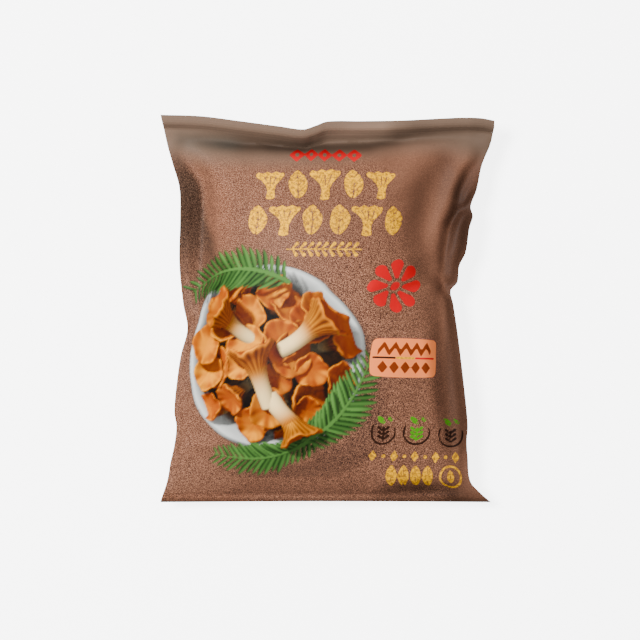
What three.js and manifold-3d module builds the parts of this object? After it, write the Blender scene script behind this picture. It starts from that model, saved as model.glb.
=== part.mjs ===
// A sealed pillow bag of frozen chanterelles, lying on its back with the printed panel up.
// Millimetres, +X across the bag, +Y towards the top seal, +Z up. The origin is under the middle of the bag,
// on the surface that it lies on.
import * as THREE from "three";
import { mergeVertices } from "three/addons/utils/BufferGeometryUtils.js";
import Module from "manifold-3d";

const wasm = await Module();
wasm.setup();

// ---- Driving dimensions -----------------------------------------------------------------------------

const bagWidth = 200; // across the end seals, where the tube of film is flat
const bagLength = 232; // from cut edge to cut edge, as it lies
const bagDepth = 58; // from the surface to the crown of the front panel
const foldHeight = 22; // the side folds above the surface
const filmThickness = 0.75; // one wall
const slackGap = 0.3; // between the two walls where they lie against each other along a side fold
const weldThickness = 2 * filmThickness + slackGap;
const topSealWidth = 10;
const bottomSealPlan = 3.7; // the bottom seal hangs down, almost on edge, so it is narrow in plan
const finWidth = 12; // the flap of the fin seal, which lies against the back
const finStep = 0.9; // depth of the groove beside the flap's free edge
const finGroove = 2.4; // width of that groove
const ventDiameter = 3; // the hole that lets air out of the bag as it is packed
const ventPlace = [34, 88];
const ventReach = 13; // how high the vent's drill reaches: through the back panel, well below the front one

const mushroomCount = 36;
const largestCap = 15.5; // radius of the biggest cap
const smallestCap = 10.5;
const capShare = 0.72; // thickness of a mushroom from side to side, as a share of its width: they lie flat
const packingGap = 0.3; // round each mushroom
const wallRoom = 2.4; // from the skin to the nearest mushroom

// ---- Curves -----------------------------------------------------------------------------------------

const clamp = (value, low, high) => Math.min(high, Math.max(low, value));
const mix = (a, b, share) => a + (b - a) * share;
const smooth = (low, high, value) => {
  const t = clamp((value - low) / (high - low), 0, 1);
  return t * t * (3 - 2 * t);
};

// A smooth curve through [position, value] points.
function spline(points) {
  const slope = points.map((_, i) => {
    const a = points[Math.max(0, i - 1)];
    const b = points[Math.min(points.length - 1, i + 1)];
    return (b[1] - a[1]) / (b[0] - a[0]);
  });
  return (at) => {
    let i = 0;
    while (i < points.length - 2 && at > points[i + 1][0]) i++;
    const [x0, y0] = points[i];
    const [x1, y1] = points[i + 1];
    const step = x1 - x0;
    const t = clamp((at - x0) / step, 0, 1);
    const t2 = t * t;
    const t3 = t2 * t;
    return (
      y0 * (2 * t3 - 3 * t2 + 1) + slope[i] * step * (t3 - 2 * t2 + t) +
      y1 * (3 * t2 - 2 * t3) + slope[i + 1] * step * (t3 - t2)
    );
  };
}

// How far the filled bag pulls each side fold in from the flat width, [y, inset] from the bottom seal to the
// top one. The film buckles in where it is notched.
const leftTuck = spline([
  [-116, 0], [-103, 3.5], [-92, 5.5], [-81, 8], [-70, 9.2], [-61, 8], [-42, 9.7], [-27, 12], [-11.5, 15.8],
  [4, 13.2], [28, 11], [55, 11.5], [73, 11], [88, 6.7], [99, 3.6], [116, 0],
]);
const rightTuck = spline([
  [-116, 2.5], [-110, 8], [-103, 14], [-88, 15.7], [-79, 16.3], [-69, 15.7], [-45, 18], [-14, 21.7],
  [4, 24.4], [12.3, 25.9], [17, 22], [27, 20.8], [35, 17], [50, 14.7], [57, 12.7], [62.7, 14],
  [73, 10.4], [88, 7.2], [102, 2], [112, 0],
]);
// How far it pulls the cut edges in, [x, inset].
const bottomTuck = spline([[-100, 0], [0, 0.6], [100, 0]]);
const topTuck = spline([
  [-100, 0], [-76, 0.8], [-52, 3.8], [-28, 7], [-14.5, 8.7], [-7.5, 6.6], [0, 4], [20, 3.8], [44, 3.4],
  [68, 2.2], [81, 1.7], [92, 2], [100, 3.5],
]);
const leftFold = (y) => leftTuck(y) - bagWidth / 2;
const rightFold = (y) => bagWidth / 2 - rightTuck(y);
const bottomEdge = (x) => bottomTuck(x) - bagLength / 2;
const topEdge = (x) => bagLength / 2 - topTuck(x);

// Where the swollen body of the front begins, [y, x]: between it and the side folds the film is slack. And how
// far the top of the body is pulled in, [x, inset]: smoother than the cut edge.
const bodyLeft = spline([
  [-106, -99], [-84, -90], [-40, -83], [0, -78], [40, -73], [68, -72], [84, -81], [104, -98],
]);
const bodyRight = spline([
  [-110, 94], [-96, 82], [-60, 73], [-20, 69], [12, 66], [40, 65], [55, 66], [75, 71], [92, 84], [104, 98],
]);
const bodyTop = spline([[-100, 1], [-50, 3], [-10, 5], [40, 3], [100, 2]]);

// ---- The bag's skin ---------------------------------------------------------------------------------

// Where the end seals meet the body, as shares of the length.
const bottomWeld = bottomSealPlan / bagLength;
const topWeld = 1 - topSealWidth / bagLength;

// The height of the side folds and the seals.
const foldLine = spline([
  [0, 9], [bottomWeld, 17], [0.06, 19], [0.25, foldHeight], [0.5, foldHeight - 1], [0.75, foldHeight],
  [0.92, 20.5], [topWeld, 21.5], [0.978, 25.5], [1, 27],
]);

// Plan position of a point of the skin: across runs from -1 at the left fold to 1 at the right one, along from
// 0 at the bottom cut edge to 1 at the top one.
function plan(across, along) {
  const level = mix(-bagLength / 2, bagLength / 2, along);
  const x = mix(leftFold(level), rightFold(level), (across + 1) / 2);
  return [x, mix(bottomEdge(x), topEdge(x), along)];
}

// The same the other way round.
function sharesAt(x, y) {
  const along = (y - bottomEdge(x)) / (topEdge(x) - bottomEdge(x));
  const level = mix(-bagLength / 2, bagLength / 2, along);
  const left = leftFold(level);
  return [(2 * (x - left)) / (rightFold(level) - left) - 1, along];
}

// How full the bag is along its length: none at the seals, all of it in the middle.
function fullness(along) {
  const v = (2 * (along - bottomWeld)) / (topWeld - bottomWeld) - 1;
  return Math.abs(v) >= 1 ? 0 : (1 - Math.abs(v) ** 3) ** 0.8;
}

// A crease along a path of [x, y, depth] points: a valley, or where the depth is negative a ridge.
function crease(x, y, width, path) {
  let nearest = Infinity;
  let depth = 0;
  for (let i = 1; i < path.length; i++) {
    const [x0, y0, from] = path[i - 1];
    const [x1, y1, to] = path[i];
    const run = (x1 - x0) ** 2 + (y1 - y0) ** 2;
    const t = clamp(((x - x0) * (x1 - x0) + (y - y0) * (y1 - y0)) / run, 0, 1);
    const away = Math.hypot(x - mix(x0, x1, t), y - mix(y0, y1, t));
    if (away >= nearest) continue;
    nearest = away;
    depth = mix(from, to, t);
  }
  return -depth * Math.exp(-((nearest / width) ** 2));
}

// The dents that the slack film takes, [width, path].
const frontCreases = [
  // beside the left fold, from the top corner down
  [7.5, [
    [-94, 98, 2], [-84, 88, 5], [-79, 79, 8], [-76.5, 68, 10], [-75.5, 56, 10], [-75, 41, 8], [-75, 11, 6],
    [-76, -10, 3], [-81, -40, 2], [-87, -75, 1],
  ]],
  [5, [[-84, -11, 2.5], [-76, -9, 2], [-64, -5, 0]]],
  // beside the right fold: a valley with a ridge on its inner side, the shoulder, and the fold's notches
  [4, [
    [91.5, 89, 1], [85, 82.5, 3], [79.5, 70, 4], [76.5, 60, 4.5], [73, 50.7, 4.5], [70, 35, 3],
    [68.7, 11, 1.5],
  ]],
  [7, [[90, 98, 0], [79.5, 80, -3], [74.5, 65.7, -3.5], [68.7, 52, -3.5], [66, 40, -2.5], [63, 25, 0]]],
  [9, [[78, 96, 0], [64, 80, 2.5], [57, 64, 3], [53, 48, 1.5], [50, 34, 0]]],
  [2.8, [[90, 70, 0.5], [85.5, 62.7, 2.5], [79.5, 58.5, 3], [74, 49.5, 1.5]]],
  [4.5, [[78, 12, 2], [70, 14, 3], [62, 20, 1.5], [52, 28, 0]]],
  [5, [[67, 8, 0.5], [68, -19, 2], [71, -55, 3], [74, -85, 3], [78, -98, 1]]],
  [5, [[60, 0, 0], [58, -25, -1], [62, -60, -1.5], [66, -84, 0]]],
  [6, [[92, -112, 1], [80, -107, 4], [66, -104, 4.5], [48, -105, 3], [30, -109, 0]]],
  // under the top seal
  [5, [
    [-92, 103, 1], [-62, 100.5, 5], [-32, 98, 7.5], [1, 98, 7.5], [25, 100, 5], [48, 103, 2.5],
    [70, 105, 1.5], [92, 105, 0.5],
  ]],
  [5, [[-14, 104, 2], [-10, 92, 1], [-8, 84, 0]]],
  [7, [[-50, 100, 1.5], [-40, 78, 0]]],
  [7, [[45, 100, 1.5], [36, 80, 0]]],
];

// How the panels swell: a higher power keeps the crown flatter and its shoulders steeper. The swells set how
// slowly the front rises from each end seal.
const crownPower = 2.4;
const bodyBend = 0.22; // how softly the body rises out of the slack film, as a share of its height
const bottomSwell = 1.15;
const topSwell = 1.5;
const valleyShare = 0.75; // how far a valley can press the front towards the back
const undersidePower = 2.6;
const undersideFill = 1.8; // how deep the underside would hang if nothing were below it, in fold heights
const underBend = 3;

// How far the back panel would hang below the side folds if nothing were under it.
function backDrop(across, along) {
  return foldLine(along) * undersideFill * fullness(along) * (1 - Math.abs(across) ** undersidePower);
}

function frontHeight(across, along) {
  const [x, y] = plan(across, along);
  const level = mix(-bagLength / 2, bagLength / 2, along);
  const toFold = Math.min(x - leftFold(level), rightFold(level) - x);
  const toWeld = Math.min(along - bottomWeld, topWeld - along) * bagLength;
  const middle = (bodyLeft(y) + bodyRight(y)) / 2;
  const rise = 1 - (Math.abs(x - middle) / (bodyRight(y) - middle)) ** crownPower;
  const softRise = (rise + Math.hypot(rise, bodyBend)) / (1 + Math.hypot(1, bodyBend));
  const bodyAlong = (y + bagLength / 2) / (bagLength - bodyTop(x));
  const shape = mix(bottomSwell, topSwell, along);
  const swell = fullness(bodyAlong) ** shape * smooth(0, mix(2, 8, along), toWeld);
  const bulge = (bagDepth - foldHeight) * swell * softRise * smooth(0, 6, toFold);
  const slack = smooth(0, 4, toWeld) * smooth(-3, 2, toFold);
  const creased = frontCreases.reduce((sum, [width, path]) => sum + crease(x, y, width, path), 0) * slack;
  const lowest = -valleyShare * backDrop(across, along);
  return foldLine(along) + weldThickness / 2 + Math.max(lowest, bulge + creased);
}

// Where the groove beside the fin seal's flap runs: its near and far edge, as shares of the half width. It
// follows the film, so it keeps its share along the whole bag.
const finEdges = [finWidth, finWidth + finGroove].map((x) => sharesAt(x, 0)[0]);

function finRelief(across, along) {
  const t = (across - finEdges[0]) / (finEdges[1] - finEdges[0]);
  return finStep * smooth(0, 0.3, t) * (1 - smooth(0.7, 1, t)) * Math.min(1, 3 * fullness(along));
}

// Film that meets the surface turns along it in a bend of this height, and lies flat on it further in.
function onSurface(height) {
  if (height < -underBend) return 0;
  return height > underBend ? height : (height + underBend) ** 2 / (4 * underBend);
}

function backHeight(across, along) {
  const hanging = foldLine(along) - weldThickness / 2 - backDrop(across, along);
  return onSurface(hanging) + finRelief(across, along);
}

const skin = {
  front: (across, along) => [...plan(across, along), frontHeight(across, along)],
  back: (across, along) => [...plan(across, along), backHeight(across, along)],
};

// ---- The film ---------------------------------------------------------------------------------------

const gridAcross = 30;
const gridAlong = 34;

// Grid lines, closer together towards the ends of the range.
const spread = (count) =>
  Array.from({ length: count + 1 }, (_, i) => {
    const s = (2 * i) / count - 1;
    return s * (1.3 - 0.3 * s * s);
  });

// The columns over the fin's groove, as shares of the half width in the middle of the bag.
const finColumns = [0, 0.3, 0.7, 1].map((share) => mix(...finEdges, share));
const columns = [
  ...spread(gridAcross).filter((s) => s < finColumns[0] - 0.02 || s > finColumns[3] + 0.02), ...finColumns,
].sort((a, b) => a - b);
const bodyRows = spread(gridAlong).map((s) => mix(bottomWeld, topWeld, (s + 1) / 2));
const rows = [0, bottomWeld / 2, ...bodyRows, (1 + topWeld) / 2, 1];

// A closed body between two sheets of points that have the same rows and columns, the upper one first.
function slab(upper, lower, rowCount, columnCount) {
  const points = [...upper, ...lower].flat();
  const below = upper.length;
  const at = (row, column) => row * columnCount + column;
  const faces = [];
  const quad = (a, b, c, d) => faces.push(a, b, c, a, c, d);
  for (let r = 0; r < rowCount - 1; r++) {
    for (let c = 0; c < columnCount - 1; c++) {
      const corner = [at(r, c), at(r, c + 1), at(r + 1, c + 1), at(r + 1, c)];
      quad(...corner);
      quad(...corner.map((i) => i + below).reverse());
    }
  }
  const edge = [];
  for (let c = 0; c < columnCount - 1; c++) edge.push(at(0, c));
  for (let r = 0; r < rowCount - 1; r++) edge.push(at(r, columnCount - 1));
  for (let c = columnCount - 1; c > 0; c--) edge.push(at(rowCount - 1, c));
  for (let r = rowCount - 1; r > 0; r--) edge.push(at(r, 0));
  edge.forEach((a, i) => {
    const b = edge[(i + 1) % edge.length];
    quad(a + below, b + below, b, a);
  });
  const geometry = new THREE.BufferGeometry();
  geometry.setAttribute("position", new THREE.Float32BufferAttribute(points, 3));
  geometry.setIndex(faces);
  return geometry;
}

const sheet = (face, acrossList, alongList) =>
  alongList.flatMap((along) => acrossList.map((across) => skin[face](across, along)));

// A point of the skin moved along the skin's own normal, into the bag.
function inset(face, across, along, depth) {
  const step = 1e-3;
  const [x, y, z] = skin[face](across, along);
  const a = skin[face](across - step, along);
  const b = skin[face](across + step, along);
  const c = skin[face](across, along - step);
  const d = skin[face](across, along + step);
  const normal = new THREE.Vector3(b[0] - a[0], b[1] - a[1], b[2] - a[2])
    .cross(new THREE.Vector3(d[0] - c[0], d[1] - c[1], d[2] - c[2]))
    .normalize()
    .multiplyScalar(face === "front" ? -depth : depth);
  return [x + normal.x, y + normal.y, z + normal.z];
}

// The space inside the film. Its two sheets never come closer than the slack gap.
function cavityPoint(face, across, along) {
  const point = inset(face, across, along, filmThickness);
  const middle = (frontHeight(across, along) + backHeight(across, along)) / 2;
  const gap = slackGap / 2;
  point[2] = face === "front" ? Math.max(point[2], middle + gap) : Math.min(point[2], middle - gap);
  return point;
}

const cavityColumns = columns.slice(1, -1);
const cavityRows = bodyRows.slice(1, -1);
const cavitySheet = (face) =>
  cavityRows.flatMap((along) => cavityColumns.map((across) => cavityPoint(face, across, along)));

// Meshes to solids and back.
function solid(geometry) {
  return new wasm.Manifold(
    new wasm.Mesh({
      numProp: 3,
      vertProperties: geometry.getAttribute("position").array,
      triVerts: new Uint32Array(geometry.index.array),
    }),
  );
}

function geometryOf(body) {
  const mesh = body.getMesh();
  const geometry = new THREE.BufferGeometry();
  geometry.setAttribute("position", new THREE.BufferAttribute(mesh.vertProperties, 3));
  geometry.setIndex(new THREE.BufferAttribute(mesh.triVerts, 1));
  return geometry;
}

function merged(geometry) {
  geometry.deleteAttribute("normal");
  geometry.deleteAttribute("uv");
  return mergeVertices(geometry);
}

function makeFilm() {
  const outside = slab(
    sheet("front", columns, rows), sheet("back", columns, rows), rows.length, columns.length);
  const inside = slab(
    cavitySheet("front"), cavitySheet("back"), cavityRows.length, cavityColumns.length);
  const vent = merged(new THREE.CylinderGeometry(ventDiameter / 2, ventDiameter / 2, ventReach + 1, 10));
  vent.rotateX(Math.PI / 2);
  vent.translate(...ventPlace, (ventReach - 1) / 2);
  return geometryOf(solid(outside).subtract(solid(inside)).subtract(solid(vent)));
}

// ---- The mushrooms ----------------------------------------------------------------------------------

const sectors = 10;

// A seeded draw of numbers from 0 to 1.
function draws(seed) {
  let state = seed >>> 0;
  return () => {
    state = (state + 0x6d2b79f5) >>> 0;
    let t = Math.imul(state ^ (state >>> 15), state | 1);
    t ^= t + Math.imul(t ^ (t >>> 7), t | 61);
    return ((t ^ (t >>> 14)) >>> 0) / 4294967296;
  };
}

// A chanterelle standing on its stem: a stem that flares into a wavy cap with a hollow top, with ridges that
// run from under the cap down the stem.
function chanterelle({ height, cap, stem, lean, turn }) {
  // [share of the height, radius, depth of the ridges, share of the rim's wave]
  const profile = [
    [0.01, stem * 0.8, 0, 0], [0.2, stem, 0, 0], [0.45, stem * 1.15, 0.03, 0], [0.66, cap * 0.46, 0.1, 0.1],
    [0.82, cap * 0.78, 0.08, 0.5], [0.93, cap * 0.99, 0.02, 1], [0.99, cap * 0.96, 0, 1],
    [0.97, cap * 0.62, 0, 0.5], [0.9, cap * 0.26, 0, 0.1],
  ];
  const points = [[0, 0, 0]];
  for (const [share, radius, ridge, wave] of profile) {
    for (let i = 0; i < sectors; i++) {
      const angle = (2 * Math.PI * i) / sectors;
      const lobes = 1 + wave * (0.07 * Math.sin(2 * angle + turn) + 0.06 * Math.sin(3 * angle - 2 * turn));
      const r = radius * lobes * (1 + (i % 2 ? ridge : -ridge));
      const rise = 0.06 * height * wave * Math.sin(3 * angle + turn);
      const shift = lean * share * share;
      points.push([capShare * r * Math.cos(angle), r * Math.sin(angle) + shift, share * height + rise]);
    }
  }
  points.push([0, 0.75 * lean, 0.86 * height]); // the bottom of the hollow
  const faces = [];
  const ring = (k, i) => 1 + k * sectors + (i % sectors);
  for (let i = 0; i < sectors; i++) {
    faces.push(0, ring(0, i + 1), ring(0, i));
    for (let k = 0; k < profile.length - 1; k++) {
      const corner = [ring(k, i), ring(k, i + 1), ring(k + 1, i + 1), ring(k + 1, i)];
      faces.push(corner[0], corner[1], corner[2], corner[0], corner[2], corner[3]);
    }
    faces.push(points.length - 1, ring(profile.length - 1, i), ring(profile.length - 1, i + 1));
  }
  const geometry = new THREE.BufferGeometry();
  geometry.setAttribute("position", new THREE.Float32BufferAttribute(points.flat(), 3));
  geometry.setIndex(faces);
  return geometry;
}

// Balls that hold a chanterelle, as [centre, radius], for packing it against its neighbours.
function ballsOf({ height, cap, stem, lean }) {
  const ball = (x, y, share, radius) => [
    new THREE.Vector3(x, y + lean * share * share, share * height), radius + packingGap];
  const rim = 0.16 * height;
  const reach = 1.1 * cap - rim;
  const reachThin = 1.1 * cap * capShare - rim;
  const around = Array.from({ length: 8 }, (_, i) => {
    const angle = (Math.PI * i) / 4;
    return ball(reachThin * Math.cos(angle), reach * Math.sin(angle), 0.89, rim);
  });
  return [
    ball(0, 0, 0.12, 1.05 * stem), ball(0, 0, 0.3, 1.1 * stem), ball(0, 0, 0.48, 1.2 * stem),
    ball(0, 0, 0.66, 0.47 * cap), ...around,
  ];
}

// The lowest and highest that a ball may be inside the film, felt out under its middle and on two rings.
function roomFor([centre, radius]) {
  let floor = -Infinity;
  let ceiling = Infinity;
  const feel = (share, angle) => {
    const [across, along] = sharesAt(
      centre.x + share * radius * Math.cos(angle), centre.y + share * radius * Math.sin(angle));
    const inside = Math.abs(across) < 0.97 && along > 0.03 && along < 0.94;
    const reach = wallRoom + radius * Math.sqrt(1 - share * share);
    floor = Math.max(floor, backHeight(across, along) + reach);
    ceiling = Math.min(ceiling, inside ? frontHeight(across, along) - reach : -Infinity);
  };
  feel(0, 0);
  for (let i = 0; i < 6; i++) {
    feel(0.6, (Math.PI * i) / 3);
    feel(0.95, (Math.PI * (i + 0.5)) / 3);
  }
  return [floor, ceiling];
}

// How high a mushroom's balls come to lie, on the film and on the mushrooms below; null if they would then
// press into the front panel.
function liftOf(balls, packed) {
  let lift = -Infinity;
  let most = Infinity;
  for (const [centre, radius] of balls) {
    const [floor, ceiling] = roomFor([centre, radius]);
    lift = Math.max(lift, floor - centre.z);
    most = Math.min(most, ceiling - centre.z);
    if (lift > most) return null;
  }
  for (const [centre, radius] of balls) {
    for (const [other, otherRadius] of packed) {
      const apart = Math.hypot(centre.x - other.x, centre.y - other.y);
      const touch = radius + otherRadius;
      if (apart < touch) lift = Math.max(lift, other.z + Math.sqrt(touch * touch - apart * apart) - centre.z);
    }
    if (lift > most) return null;
  }
  return lift;
}

// The range of a mushroom's place and turn: x, y, roll about its own stem, pitch from upright, heading.
const poseRange = [[-76, 72], [-96, 92], [-0.4, 0.4], [0.4 * Math.PI, 0.6 * Math.PI], [0, 2 * Math.PI]];

// Lays a mushroom down in a pose.
function lay(shape, pose, packed) {
  const [x, y, roll, pitch, heading] = pose;
  const turned = new THREE.Matrix4().makeRotationFromEuler(new THREE.Euler(roll, pitch, heading, "ZYX"));
  const middle = new THREE.Vector3(0, 0, shape.height / 2).applyMatrix4(turned);
  const place = turned.setPosition(x - middle.x, y - middle.y, 0);
  const balls = ballsOf(shape).map(([centre, radius]) => [centre.applyMatrix4(place), radius]);
  const lift = liftOf(balls, packed);
  if (lift === null) return null;
  place.premultiply(new THREE.Matrix4().makeTranslation(0, 0, lift));
  balls.forEach(([centre]) => centre.setZ(centre.z + lift));
  return { shape, pose, place, balls, top: Math.max(...balls.map(([centre, radius]) => centre.z + radius)) };
}

// Packs the mushrooms one by one, the big ones first. Each tries a number of poses, then nudges the one that
// lies lowest, to settle it lower still.
function packMushrooms() {
  const tries = 300;
  const nudges = 150;
  const nudgeShare = 0.12;
  const draw = draws(7);
  const packed = [];
  return Array.from({ length: mushroomCount }, (_, i) => {
    const cap = mix(largestCap, smallestCap, i / (mushroomCount - 1));
    const shape = {
      cap,
      height: cap * mix(2.3, 2.7, draw()),
      stem: cap * mix(0.38, 0.5, draw()),
      lean: cap * mix(-0.35, 0.35, draw()),
      turn: 2 * Math.PI * draw(),
    };
    let best = null;
    for (let k = 0; k < tries + nudges; k++) {
      const pose = poseRange.map(([low, high], n) => (k < tries || !best
        ? mix(low, high, draw())
        : best.pose[n] + nudgeShare * (high - low) * (draw() - 0.5)));
      const laid = lay(shape, pose, packed);
      if (laid && (!best || laid.top < best.top)) best = laid;
    }
    if (!best) throw new Error("no room for mushroom " + (i + 1));
    packed.push(...best.balls);
    return best;
  });
}

// ---- The bag and what it holds ----------------------------------------------------------------------

const filmFinish = new THREE.MeshStandardMaterial({ color: 0x966a52, roughness: 0.42, metalness: 0.1 });
const mushroomFinish = new THREE.MeshStandardMaterial({ color: 0xe08a1e, roughness: 0.7, metalness: 0 });

const bag = new THREE.Group();
const film = new THREE.Mesh(makeFilm(), filmFinish);
film.name = "bag_film";
bag.add(film);

packMushrooms().forEach(({ shape, place }, i) => {
  const mushroom = new THREE.Mesh(chanterelle(shape), mushroomFinish);
  mushroom.name = "chanterelle_" + String(i + 1).padStart(2, "0");
  place.decompose(mushroom.position, mushroom.quaternion, mushroom.scale);
  bag.add(mushroom);
});

export default bag;
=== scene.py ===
"""A sealed pillow bag of frozen chanterelles, lying on its back: the printed film, its seals, and the mushrooms.

The film's shape comes from the same outlines and formulas as the solid bag, in millimetres, worked out on a fine
grid. The grid runs across the bag from the left side fold (-1) to the right one (1), and along it from the bottom
cut edge (0) to the top one (1).
"""
import math

import bmesh
import bpy
import numpy as np
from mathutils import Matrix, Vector
from mathutils.bvhtree import BVHTree


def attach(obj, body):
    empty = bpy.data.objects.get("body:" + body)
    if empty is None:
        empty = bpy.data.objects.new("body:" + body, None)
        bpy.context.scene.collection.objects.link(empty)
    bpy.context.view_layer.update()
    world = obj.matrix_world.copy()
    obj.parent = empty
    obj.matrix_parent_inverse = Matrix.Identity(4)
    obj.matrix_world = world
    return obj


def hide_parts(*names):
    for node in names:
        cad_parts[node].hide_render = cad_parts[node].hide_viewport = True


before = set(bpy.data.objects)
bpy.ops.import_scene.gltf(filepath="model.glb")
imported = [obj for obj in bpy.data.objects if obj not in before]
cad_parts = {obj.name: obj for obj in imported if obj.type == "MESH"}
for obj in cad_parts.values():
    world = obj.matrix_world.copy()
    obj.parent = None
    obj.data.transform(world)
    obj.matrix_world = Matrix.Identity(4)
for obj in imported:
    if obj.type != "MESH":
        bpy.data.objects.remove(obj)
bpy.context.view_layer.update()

MM = 0.001

# ---- The studio ------------------------------

camera_distance = 1.5
framed_width = 0.384  # of the level of the side folds, across the picture
framed_centre = Vector((-0.0045, -0.0069, 0.0))
fold_level = 0.024
light_aim = Vector((0, 0, 0.03))
sky_strength = 0.24
floor_size = 12
floor_drop = 0.0001  # below the bag's underside
floor_grey = 0.9
floor_glow = 5.0


def add_object(name, data):
    thing = bpy.data.objects.new(name, data)
    bpy.context.collection.objects.link(thing)
    return thing


def make_camera():
    data = bpy.data.cameras.new("camera")
    camera = add_object("camera", data)
    camera.location = framed_centre + Vector((0, 0, fold_level + camera_distance))
    data.lens = data.sensor_width * camera_distance / framed_width
    data.clip_start, data.clip_end = 0.05, 20
    bpy.context.scene.camera = camera


def area_light(name, place, size, watts):
    data = bpy.data.lights.new(name, "AREA")
    data.shape, data.size, data.energy = "DISK", size, watts
    light = add_object(name, data)
    light.location = place
    light.rotation_euler = (light_aim - Vector(place)).to_track_quat("-Z", "Y").to_euler()


def make_lights():
    area_light("key_light", (-0.75, 0.35, 1.6), size=0.6, watts=78)
    area_light("fill_light", (0.3, -0.4, 2.2), size=1.2, watts=6)
    world = bpy.data.worlds.new("studio")
    bpy.context.scene.world = world
    world.use_nodes = True
    sky = world.node_tree.nodes["Background"].inputs
    sky["Color"].default_value = (1.0, 1.0, 1.0, 1)
    sky["Strength"].default_value = sky_strength


def make_floor():
    bpy.ops.mesh.primitive_plane_add(size=floor_size, location=(0, 0, 0))
    floor = bpy.context.object
    floor.name = "floor"
    floor.location.z = -floor_drop
    paint = bpy.data.materials.new("pale_floor")
    paint.use_nodes = True
    shader = paint.node_tree.nodes["Principled BSDF"].inputs
    shader["Base Color"].default_value = (floor_grey, floor_grey, floor_grey, 1)
    shader["Roughness"].default_value = 0.9
    shader["Emission Color"].default_value = (1.0, 1.0, 1.0, 1)
    shader["Emission Strength"].default_value = floor_glow
    floor.data.materials.append(paint)
    # it throws no light of its own up under the bag
    floor.visible_diffuse = floor.visible_glossy = False
    floor.select_set(False)


# ---- Curves ----------------------------------

def smooth(low, high, value):
    t = np.clip((value - low) / (high - low), 0, 1)
    return t * t * (3 - 2 * t)


def plateau(start, full, fall, end, value):
    """Rises from start to full, and goes back from fall to end."""
    return smooth(start, full, value) * (1 - smooth(fall, end, value))


def mix(a, b, share):
    return a + (b - a) * share


def mix_each(a, b, share):
    """Mixes colours or points, each by its own share."""
    return mix(a, b, share[..., None])


def join(*values):
    """Points or colours from an array for each of their values."""
    return np.stack(values, axis=-1)


def spline(*points):
    """A smooth curve through (place, value) points, as a function of an array of places."""
    at, value = np.array(points, float).T
    before = np.maximum(np.arange(len(at)) - 1, 0)
    after = np.minimum(np.arange(len(at)) + 1, len(at) - 1)
    slope = (value[after] - value[before]) / (at[after] - at[before])

    def curve(place):
        i = np.clip(np.searchsorted(at, place) - 1, 0, len(at) - 2)
        step = at[i + 1] - at[i]
        t = np.clip((place - at[i]) / step, 0, 1)
        return (
            value[i] * (1 + 2 * t) * (1 - t) ** 2 + slope[i] * step * t * (1 - t) ** 2
            + value[i + 1] * t * t * (3 - 2 * t) + slope[i + 1] * step * t * t * (t - 1)
        )

    return curve


# ---- The bag's form --------------------------

bag_width = 200  # across the end seals
bag_length = 232
half_length = bag_length / 2
bag_depth = 58
fold_height = 22
weld_thickness = 0.7
top_seal_width = 8
bottom_seal_plan = 3.7
fin_width = 12
fin_step = 0.9
fin_groove = 2.4
crown_power = 2.4
body_bend = 0.22  # how softly the body rises out of the slack film, as a share of its height
bottom_swell = 1.15
top_swell = 1.5
valley_share = 0.75
underside_power = 2.6
underside_fill = 1.8
under_bend = 3
# how far from the welds and the side folds the swell and the dents come in
bottom_ease, top_ease, fold_ease = 2, 8, 6
dent_ease = 2.5
dent_span = (-3, 2)
dent_softness = 2

bottom_weld = bottom_seal_plan / bag_length
top_weld = 1 - top_seal_width / bag_length

# How far the filled bag pulls each side fold in from the flat width, (y, inset).
left_tuck = spline(
    (-116, -1), (-103, 3.5), (-92, 5.5), (-81, 8), (-70, 9.2), (-61, 8), (-42, 9.7), (-27, 12), (-11.5, 15.8),
    (4, 13.2), (28, 11), (55, 11.5), (73, 11), (88, 6.7), (99, 3.6), (116, 0))
right_tuck = spline(
    (-116, 1.2), (-110, 8), (-103, 14), (-88, 15.7), (-79, 16.3), (-69, 15.7), (-45, 18), (-14, 21.7),
    (4, 24.4), (12.3, 25.9), (17, 22), (27, 20.8), (35, 17), (50, 14.7), (57, 12.7), (62.7, 14),
    (73, 10.4), (88, 7.2), (102, 2), (112, 0))
# How far it pulls the cut edges in, (x, inset).
bottom_tuck = spline((-100, -1), (0, -0.5), (100, -1))
top_tuck = spline(
    (-100, 0), (-76, 0.8), (-52, 3.8), (-28, 7), (-14.5, 8.7), (-7.5, 6.6), (0, 4), (20, 3.8), (44, 3.4),
    (68, 2.2), (81, 1.7), (92, 2), (100, 3.5))
# Where the swollen body begins, (y, x): between it and the side folds the slack film stands flat. And how far
# the top of the body is pulled in, (x, inset): smoother than the cut edge.
body_left = spline((-106, -99), (-84, -90), (-40, -83), (0, -78), (40, -73), (68, -72), (84, -81), (104, -98))
body_right = spline(
    (-110, 94), (-96, 82), (-60, 73), (-20, 69), (12, 66), (40, 65), (55, 66), (75, 71), (92, 84), (104, 98))
body_top = spline((-100, 1), (-50, 3), (-10, 5), (40, 3), (100, 2))
# The height of the side folds and the seals, (share of the length, height).
fold_line = spline(
    (0, 12.5), (bottom_weld, 17), (0.06, 19), (0.25, fold_height), (0.5, fold_height - 1), (0.75, fold_height),
    (0.92, 20.5), (top_weld, 21.5), (0.978, 25.5), (1, 27))


def left_fold(y):
    return left_tuck(y) - bag_width / 2


def right_fold(y):
    return bag_width / 2 - right_tuck(y)


def plan(across, along):
    """Where a grid point lies, seen from above."""
    level = mix(-half_length, half_length, along)
    x = mix(left_fold(level), right_fold(level), (across + 1) / 2)
    return x, mix(bottom_tuck(x) - half_length, half_length - top_tuck(x), along)


def shares_at(x, y):
    """The grid point that lies at a place seen from above."""
    bottom = bottom_tuck(x) - half_length
    along = (y - bottom) / (half_length - top_tuck(x) - bottom)
    level = mix(-half_length, half_length, along)
    left = left_fold(level)
    return 2 * (x - left) / (right_fold(level) - left) - 1, along


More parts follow.
